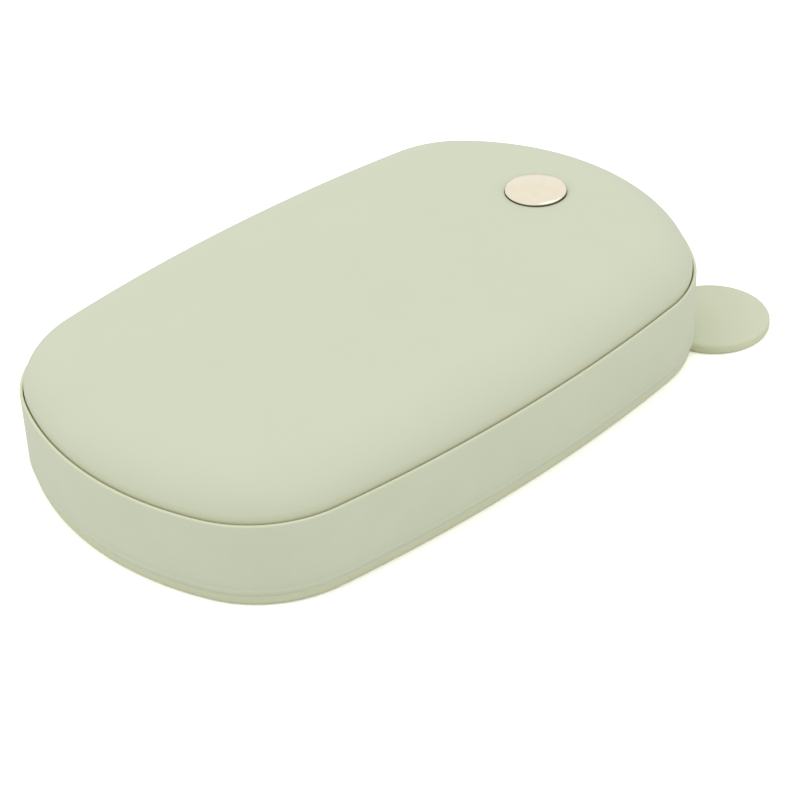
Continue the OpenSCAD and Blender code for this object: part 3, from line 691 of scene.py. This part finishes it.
# Battery tray. A dark moulded carrier screwed up to the frame's bosses with four steel screws. It has a
# walled bay for the cell, and four posts for the control board: two take its screws and two are pegs.
tray_finish = finish_of(
    "inner_plastic",
    light=(0.055, 0.06, 0.065), dark=(0.045, 0.05, 0.055), patch=4 * mm,
    roughness=0.45, grain=0.15 * mm, relief=0.006 * mm,
)
repaint(tray_finish, "battery_tray")
steel_finish = finish_of(
    "steel",
    light=(0.64, 0.64, 0.65), dark=(0.56, 0.56, 0.57), patch=3 * mm,
    roughness=0.27, grain=0.08 * mm, relief=0.0008 * mm, metallic=1.0,
)
repaint(steel_finish, "tray_screws", "board_screws", "usb_c_shell", "thermal_fuse")


# Battery. A lithium pouch cell in a satin laminated foil with folded edges. A small protection board is taped
# on its front end, two silicone leads run to the control board, and two foam strips press it down from above.
def wrinkled_foil(name, tone):
    """Satin laminated foil: aluminium grey under a matt film, with soft wrinkles that catch the light."""
    material = finish_of(
        name,
        light=tone, dark=scaled_tone(tone, 0.85), patch=12 * mm,
        roughness=0.4, grain=3 * mm, relief=0.06 * mm, metallic=0.8,
    )
    set_values(material.node_tree.nodes["Principled BSDF"], {"Coat Weight": 0.2})
    return material


def cell_foam(name, tone, cell):
    """Closed-cell foam: dark and dull, pitted by rounded cells."""
    material, tree, _ = new_finish(name)
    cells = pattern(tree, "ShaderNodeTexVoronoi", cell)
    lead_in(
        tree,
        tones(tree, (cells, "Distance"), [(0.2, tone), (0.8, scaled_tone(tone, 1.8))]),
        rescaled(tree, (cells, "Distance"), 0.0, 1.0, start=0.8, stop=0.95),
    )
    raised(tree, (cells, "Distance"), distance=0.08 * mm)
    return material


def silicone(name, light, dark):
    """Soft wire insulation with a faint sheen."""
    material = finish_of(
        name, light, dark, patch=1.5 * mm, roughness=0.45, grain=0.1 * mm, relief=0.002 * mm,
    )
    set_values(material.node_tree.nodes["Principled BSDF"], {"Sheen Weight": 0.15})
    return material


repaint(wrinkled_foil("cell_pouch", (0.60, 0.63, 0.67)), "battery_cell")
repaint(cell_foam("black_foam", (0.022, 0.022, 0.024), cell=0.35 * mm), "battery_foam_pads", "badge_tape")
repaint(silicone("red_wire", (0.52, 0.03, 0.025), (0.45, 0.02, 0.02)), "battery_leads")
repaint(silicone("black_wire", (0.02, 0.02, 0.022), (0.014, 0.014, 0.016)), "heater_leads")


# Control board. A green fibreglass board with the charging socket on a tab at its front edge, the button's
# switch, four lights, a boost coil, two controllers, two transistors, five capacitors, a thermal fuse and
# three plugs.
def solder_mask(name, mask, track, pitch):
    """Green solder mask over a net of fine copper tracks, which show as slightly paler and higher lines."""
    black, white = (0.0, 0.0, 0.0, 1.0), (1.0, 1.0, 1.0, 1.0)
    material, tree, shader = new_finish(name)
    set_values(shader, {"Coat Weight": 0.4})
    net = pattern(tree, "ShaderNodeTexBrick", pitch)
    set_values(net, {"Color1": black, "Color2": black, "Mortar": white})
    set_values(net, {"Mortar Size": 0.05, "Brick Width": 2.6, "Row Height": 0.8})
    lead_in(
        tree,
        tones(tree, (net, "Color"), [(noise_low, mask), (noise_high, track)]),
        rescaled(tree, (net, "Fac"), 0.0, 1.0, start=0.25, stop=0.35),
    )
    raised(tree, (net, "Fac"), distance=0.03 * mm)
    return material


board_finish = solder_mask("circuit_board", (0.012, 0.10, 0.045), (0.03, 0.17, 0.08), pitch=1.0 * mm)
repaint(board_finish, "main_board", "battery_guard_board")
black_finish = finish_of(
    "black_plastic",
    light=(0.026, 0.026, 0.028), dark=(0.018, 0.018, 0.02), patch=1.5 * mm,
    roughness=0.4, grain=0.08 * mm, relief=0.003 * mm,
)
repaint(black_finish, "usb_c_tongue", "switch_body", "power_inductor", "charge_controller", "heat_controller",
        "heater_transistors", "thermistors")
white_finish = finish_of(
    "white_plastic",
    light=(0.80, 0.79, 0.72), dark=(0.76, 0.75, 0.68), patch=2 * mm,
    roughness=0.35, grain=0.1 * mm, relief=0.002 * mm,
)
repaint(white_finish, "switch_plunger", "indicator_leds", "battery_connector", "heater_connectors")
ceramic_finish = finish_of(
    "ceramic",
    light=(0.50, 0.38, 0.25), dark=(0.42, 0.31, 0.20), patch=0.6 * mm,
    roughness=0.5, grain=0.05 * mm, relief=0.002 * mm,
)
repaint(ceramic_finish, "board_capacitors")
gold_finish = finish_of(
    "gold",
    light=(0.87, 0.80, 0.64), dark=(0.845, 0.77, 0.61), patch=2 * mm,
    roughness=0.18, grain=0.05 * mm, relief=0.0005 * mm, metallic=1.0,
)

# The socket's tongue carries twelve gold contacts on each face, half a millimetre apart
contact_count = 12
contact_pitch = 0.5 * mm
contact_width = 0.26 * mm
contact_length = 2.8 * mm
contact_slope = 0.15 * mm
contact_proud = 0.02 * mm
contact_sunk = 0.05 * mm
contact_back = 0.5 * mm
tongue_half = 0.35 * mm
contact_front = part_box("usb_c_tongue")[1].x - contact_back
contact_rear = contact_front - contact_length
contact_places = contact_pitch * (np.arange(contact_count) - (contact_count - 1) / 2)
contacts = []
for side in (-1, 1):
    outer = ports_height + side * (tongue_half + contact_proud)
    inner = ports_height + side * (tongue_half - contact_sunk)
    strip = [
        (contact_rear, inner),
        (contact_rear, outer),
        (contact_front - contact_slope, outer),
        (contact_front, inner),
    ]
    middle = ((contact_rear + contact_front) / 2, (inner + outer) / 2)
    contacts += [bar(strip, middle, (0.0, y), 0.0, contact_width) for y in contact_places]
usb_contacts = make_piece("usb_contacts", contacts)
dress(usb_contacts, "housing", "gold", gold_finish)


# Light guide. One clear, lightly frosted moulding behind the wall: a bar with a foot in front of each light,
# and four round dots that stand in the wall's holes, a hair below its surface.
clear_finish = finish_of(
    "clear_plastic",
    light=(0.86, 0.90, 0.89), dark=(0.82, 0.86, 0.85), patch=2 * mm,
    roughness=0.3, grain=0.08 * mm, relief=0.003 * mm,
)
set_values(clear_finish.node_tree.nodes["Principled BSDF"], {"Transmission Weight": 0.3, "IOR": 1.49})
repaint(clear_finish, "light_guide")


# Power button. A moulded cap in the wall's plastic, whose face follows the wall and stands a little proud of
# it. A flange holds it behind the wall, and its stem rests on the plunger of the switch, whose dome is its
# spring.
button_proud = 0.35 * mm
button_edge = 0.3 * mm
face_width, face_height = button_width - 2 * button_edge, button_height - 2 * button_edge
flange_side, flange_over = 1.1 * mm, 0.9 * mm
flange_width, flange_height = button_width + 2 * flange_side, button_height + 2 * flange_over
flange_inset = wall + slide_gap
flange_thickness = 1.0 * mm
flange_back = flange_inset + flange_thickness
flange_edge = 0.1 * mm
flange_face = flange_width - 2 * flange_edge, flange_height - 2 * flange_edge
stem_width = 2.6 * mm
stem_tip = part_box("button_cap")[0].x
stem_edge = 0.1 * mm
button_turns = np.radians(np.arange(0.5, 360, 2.0))
button_ways = np.stack([np.cos(button_turns), np.sin(button_turns)], -1)


def button_row(width, height, inset, share=1.0):
    """A pill-shaped loop of that size on the wall's curve at that inset, or shrunk to a share of it."""
    y, z = (share * button_ways * pill_reach(button_ways, width, height)[:, None]).T
    return np.stack([wall_x(button_middle + y, inset), button_middle + y, ports_height + z], -1)


face_shares = np.linspace(0, 1, 10)[:-1]
face_rows = [button_row(face_width, face_height, -button_proud, share) for share in face_shares]
edge_rows = []
for a in np.radians(np.linspace(0, 90, 7)):
    less = 2 * button_edge * (1 - np.sin(a))
    edge_inset = button_edge * (1 - np.cos(a)) - button_proud
    edge_rows.append(button_row(button_width - less, button_height - less, edge_inset))
# The stem's first row lies on the flange, and the others close its flat tip
stem_shares = (1.0, 1.0, 0.9, 0.5, 0.0)
stem_rows = [button_row(stem_width, stem_width, flange_back, share) for share in stem_shares]
for stem_row, off_tip in zip(stem_rows[1:], (stem_edge, 0.0, 0.0, 0.0)):
    stem_row[:, 0] = stem_tip + off_tip
button_cap = make_piece("button_cap_moulding", [quads(np.stack([
    *face_rows,
    *edge_rows,
    button_row(button_width, button_height, flange_inset),
    button_row(*flange_face, flange_inset),
    button_row(flange_width, flange_height, flange_inset + flange_edge),
    button_row(flange_width, flange_height, flange_back - flange_edge),
    button_row(*flange_face, flange_back),
    *stem_rows,
]))])
# Painted light: the cap takes the wall's lighter copy of the plastic
dress(button_cap, "power_button", "wall_plastic", wall_finish, "button_cap")


# Top cover. A domed moulded cover in the same coated plastic, with a rounded shoulder all round and a shallow
# crown. Its skirt drops inside the frame's rim and rests on the ledge, where tabs snap under it, and the stud
# has a recess.
cover_inset = lip + seam_gap
skirt_thickness = 1.75 * mm
skirt_inset = cover_inset + skirt_thickness
shoulder_width = 8.6 * mm
shoulder_height = 5.7 * mm
crown = 1.2 * mm
# A ring keeps the outline's arcs up to an inset that is a little less than the corners' radius
crown_inset = 0.9 * corner_radius
edge_roll = 0.05 * mm
edge_rise = 0.8 * mm
band_low = 0.4 * mm
band_high = 1.5 * mm
ceiling_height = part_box("top_heat_plate")[1].z
ceiling_inset = 9.6 * mm


def crown_height(share):
    """Height of the crown where share runs from 0 at the cover's edge to 1 at the middle: a flat parabola."""
    return rim_height + shoulder_height + crown * (1 - (1 - share) ** 2)


def way_in(inset):
    """Share of the way from the cover's edge to the middle line at that inset."""
    return (inset - cover_inset) / (half_width - cover_inset)


def dome_height(inset):
    """Height of the cover over that inset: the crown, less a quarter of an ellipse over the shoulder."""
    t = np.minimum((inset - cover_inset) / shoulder_width, 1)
    return crown_height(way_in(inset)) - shoulder_height * (1 - np.sqrt(1 - (1 - t) ** 2))


def middle_height(share):
    """Height of the cover's middle, where the ring at crown_inset is shrunk to that share."""
    edge = way_in(crown_inset)
    return crown_height(edge + (1 - share) * (1 - edge))


def side_inset(inset):
    """Inset of the cover's side where the shoulder alone has that inset: over the seam it is an upright band,
    out of which the shoulder bends by a smooth step, and the band's lower edge curves in by a square."""
    height = dome_height(inset) - rim_height
    step = np.clip((height - band_low) / (band_high - band_low), 0, 1)
    below = np.clip((edge_rise - height) / edge_rise, 0, 1)
    return cover_inset + (inset - cover_inset) * step ** 2 * (3 - 2 * step) + edge_roll * below ** 2


# The shoulder's lowest part has finer steps, for the bend of the upright band
shoulder_turns = np.radians(np.append(np.linspace(0, 18, 25), np.linspace(21, 90, 24)))
inner_turns = np.radians(np.linspace(0, 90, 12))
shoulder = cover_inset + shoulder_width * (1 - np.cos(shoulder_turns))
shallow = np.linspace(shoulder[-1], crown_inset, 9)[1:]
inner_insets = skirt_inset + (ceiling_inset - skirt_inset) * (1 - np.cos(inner_turns))
inner_heights = rim_height + (ceiling_height - rim_height) * np.sin(inner_turns)
top_cover = make_piece("top_cover_moulding", [
    quads(closing(all_round, crown_inset, middle_height, steps=24)),
    quads(sweep(all_round, [
        *[(inset, dome_height(inset)) for inset in shallow[::-1]],
        *[(side_inset(inset), dome_height(inset)) for inset in shoulder[::-1]],
        (cover_inset + edge_roll, seat_height),
        (skirt_inset, seat_height),
        *zip(inner_insets, inner_heights),
    ])),
    quads(closing(all_round, ceiling_inset, lambda share: ceiling_height, steps=6)),
])
tab_inset = wall + fit_gap
tab_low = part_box("top_cover")[0].z
tab_face = 0.4 * mm
tab_lift = 0.2 * mm
tab_root = 1 * mm
tab_top = seat_height + tab_root
catch_height = ledge_low - tab_lift
catch_reach = tab_thickness + hook_reach
tab = [
    (0.0, tab_top),
    (0.0, tab_low),
    (-tab_thickness, tab_low),
    (-catch_reach, catch_height - tab_face),
    (-catch_reach, catch_height),
    (-tab_thickness, catch_height),
    (-tab_thickness, tab_top),
]
tab = [(out - tab_inset, height) for out, height in tab]
tab_middle = (-tab_inset - tab_thickness / 2, catch_height - tab_face / 2)
combine(top_cover, [bar(tab, tab_middle, place, way, hook_width) for place, way in snap_fits], "UNION")

# The stud's recess, and the holes for its two pins
badge_low, badge_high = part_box("badge")
badge_middle = ((badge_low.x + badge_high.x) / 2, 0.0, 0.0)
badge_radius = badge_high.y
recess_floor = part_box("badge_tape")[0].z
pin_radius = 0.6 * mm
pin_places = [(badge_middle[0] + side * badge_radius / 2, 0.0, 0.0) for side in (-1, 1)]
pin_steps = 48
above = 2 * rim_height
recess = posts(badge_radius + pin_gap, recess_floor, above, [badge_middle], steps=128)
pin_holes = posts(pin_radius + pin_gap, seat_height, above, pin_places, pin_steps)
for cut in (recess, pin_holes):
    combine(top_cover, cut, "DIFFERENCE")
cover_finish = sage_plastic(
    "cover_plastic",
    light=(0.695, 0.74, 0.565), dark=(0.68, 0.725, 0.55), patch=14 * mm, grain=0.18 * mm, relief=0.012 * mm,
)
# Painted shade: the upright band over the seam is blended a shade deeper and warmer
painted_shade_top = rim_height + band_high
painted_shade_fade = 0.4 * mm
blend_by_height(cover_finish, painted_shade_top, painted_shade_top - painted_shade_fade, (0.67, 0.70, 0.51))
dress(top_cover, "housing", "cover_plastic", cover_finish, "top_cover")


# Badge. A plain round stud of polished, pale gold-plated metal, turned with an upright edge, a small bevel
# and a domed face. Two pins under it pass through the cover, and an adhesive disc holds it in its recess.
tape_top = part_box("badge_tape")[1].z
badge_top = badge_high.z
badge_edge_height = 0.7 * mm
badge_bevel = 0.25 * mm
badge_corner = 0.06 * mm
face_radius = badge_radius - badge_bevel
face_low = tape_top + badge_edge_height + badge_bevel
rise = badge_top - face_low
dome_radius = (face_radius ** 2 + rise ** 2) / (2 * rise)
face_radii = np.linspace(face_radius, 0, 25)
face_heights = badge_top - dome_radius + np.sqrt(dome_radius ** 2 - face_radii ** 2)
badge = make_piece("badge_stud", [
    revolve([
        (0.0, tape_top),
        (badge_radius - badge_corner, tape_top),
        (badge_radius, tape_top + badge_corner),
        (badge_radius, tape_top + badge_edge_height - badge_corner),
        (badge_radius - badge_corner / 2, tape_top + badge_edge_height),
        *zip(face_radii, face_heights),
    ], badge_middle, steps=160),
])
pins = posts(pin_radius, badge_low.z, tape_top + badge_edge_height / 2, pin_places, pin_steps)
combine(badge, pins, "UNION")
stud_finish = gold_finish.copy()
stud_finish.name = "stud_gold"
# Painted reflection and shade: the stud's upright edge is blended dark under its polished face
dark_flank_top = tape_top + badge_edge_height - badge_corner
dark_flank_fade = 0.1 * mm
blend_by_height(stud_finish, dark_flank_top, dark_flank_top - dark_flank_fade, (0.16, 0.13, 0.10))
dress(badge, "housing", "gold", stud_finish, "badge")


# Stage. The camera stands off the plain end, above the near long side, and looks down on the whole body. The
# floor is white for the camera but keeps the body's soft shadow. Large soft lamps stand in a pale room.
view_elevation = np.radians(34.9467)
view_azimuth = np.radians(-42.5284)
view_roll = np.radians(-2.4182)
view_distance = 374.4 * mm
view_sideways = 3.77 * mm
view_upwards = -1.15 * mm
lens_mm = 106.766
sensor_mm = 36.0

back = np.array([
    np.sin(view_azimuth) * np.cos(view_elevation),
    -np.cos(view_azimuth) * np.cos(view_elevation),
    np.sin(view_elevation),
])
level = np.array([np.cos(view_azimuth), np.sin(view_azimuth), 0.0])
upright = np.cross(back, level)
right = np.cos(view_roll) * level + np.sin(view_roll) * upright
up = np.cross(back, right)
eye = back * view_distance + level * view_sideways + upright * view_upwards

camera = bpy.data.objects.new("camera", bpy.data.cameras.new("camera"))
bpy.context.scene.collection.objects.link(camera)
camera.data.lens = lens_mm
camera.data.sensor_width = sensor_mm
camera.data.clip_start = 0.01
camera.data.clip_end = 20.0
camera.matrix_world = Matrix(np.vstack([np.column_stack([right, up, back, eye]), [0, 0, 0, 1]]).tolist())
bpy.context.scene.camera = camera
bpy.context.scene.view_settings.view_transform = "Standard"

room_tone = (1.0, 0.995, 0.985)
room_level = 0.61
floor_size = 6.0
floor_drop = 0.02 * mm
floor_tone = 0.80
floor_tone_in_view = 1.65

# The room is pale where it lights the body, and white where the camera, gloss or clear plastic shows it
room = bpy.data.worlds.new("room")
room.use_nodes = True
bpy.context.scene.world = room
tree = room.node_tree
tree.nodes.clear()
rays = tree.nodes.new("ShaderNodeLightPath")
seen = (rays, "Is Camera Ray")
for kind in ("Is Glossy Ray", "Is Transmission Ray"):
    either = tree.nodes.new("ShaderNodeMath")
    either.operation = "MAXIMUM"
    wire(tree, seen, (either, 0))
    wire(tree, (rays, kind), (either, 1))
    seen = (either, 0)
pale = tree.nodes.new("ShaderNodeBackground")
set_values(pale, {"Color": (*room_tone, 1.0), "Strength": room_level})
white = tree.nodes.new("ShaderNodeBackground")
set_values(white, {"Color": (1.0, 1.0, 1.0, 1.0), "Strength": 1.0})
choice = tree.nodes.new("ShaderNodeMixShader")
sky = tree.nodes.new("ShaderNodeOutputWorld")
for socket, source in enumerate((seen, (pale, 0), (white, 0))):
    wire(tree, source, (choice, socket))
wire(tree, (choice, 0), (sky, 0))

floor_mesh = bpy.data.meshes.new("floor")
half_floor = floor_size / 2
corners = [(x * half_floor, y * half_floor, -floor_drop) for x, y in ((-1, -1), (1, -1), (1, 1), (-1, 1))]
floor_mesh.from_pydata(corners, [], [(0, 1, 2, 3)])
floor = bpy.data.objects.new("floor", floor_mesh)
bpy.context.scene.collection.objects.link(floor)
paper = bpy.data.materials.new("floor_paper")
paper.use_nodes = True
tree = paper.node_tree
tree.nodes.clear()
rays = tree.nodes.new("ShaderNodeLightPath")
shade = rescaled(tree, (rays, "Is Camera Ray"), 0.0, 1.0, floor_tone, floor_tone_in_view)
matte = tree.nodes.new("ShaderNodeBsdfDiffuse")
out = tree.nodes.new("ShaderNodeOutputMaterial")
wire(tree, (shade, "Result"), (matte, "Color"))
wire(tree, (matte, 0), (out, 0))
floor_mesh.materials.append(paper)

# Each lamp: its name, its place and its square's side in metres, its watts, and whether metal mirrors it
lamps = [
    ("lamp_over_far_side", (0.3, 0.5, 1.1), 1.0, 2.4, False),
    ("lamp_over_plain_end", (-0.9, 0.4, 0.9), 0.9, 3.6, False),
    ("lamp_over_near_side", (0.1, -0.9, 0.9), 0.9, 1.8, True),
    ("lamp_by_near_side", (0.7, -1.0, 0.35), 0.9, 1.3, True),
]
for name, place, side, watts, in_metal in lamps:
    lamp = bpy.data.objects.new(name, bpy.data.lights.new(name, "AREA"))
    bpy.context.scene.collection.objects.link(lamp)
    lamp.data.size = side
    lamp.data.energy = watts
    lamp.visible_glossy = in_metal
    lamp.location = place
    lamp.rotation_mode = "QUATERNION"
    lamp.rotation_quaternion = (-Vector(place)).to_track_quat("-Z", "Y")
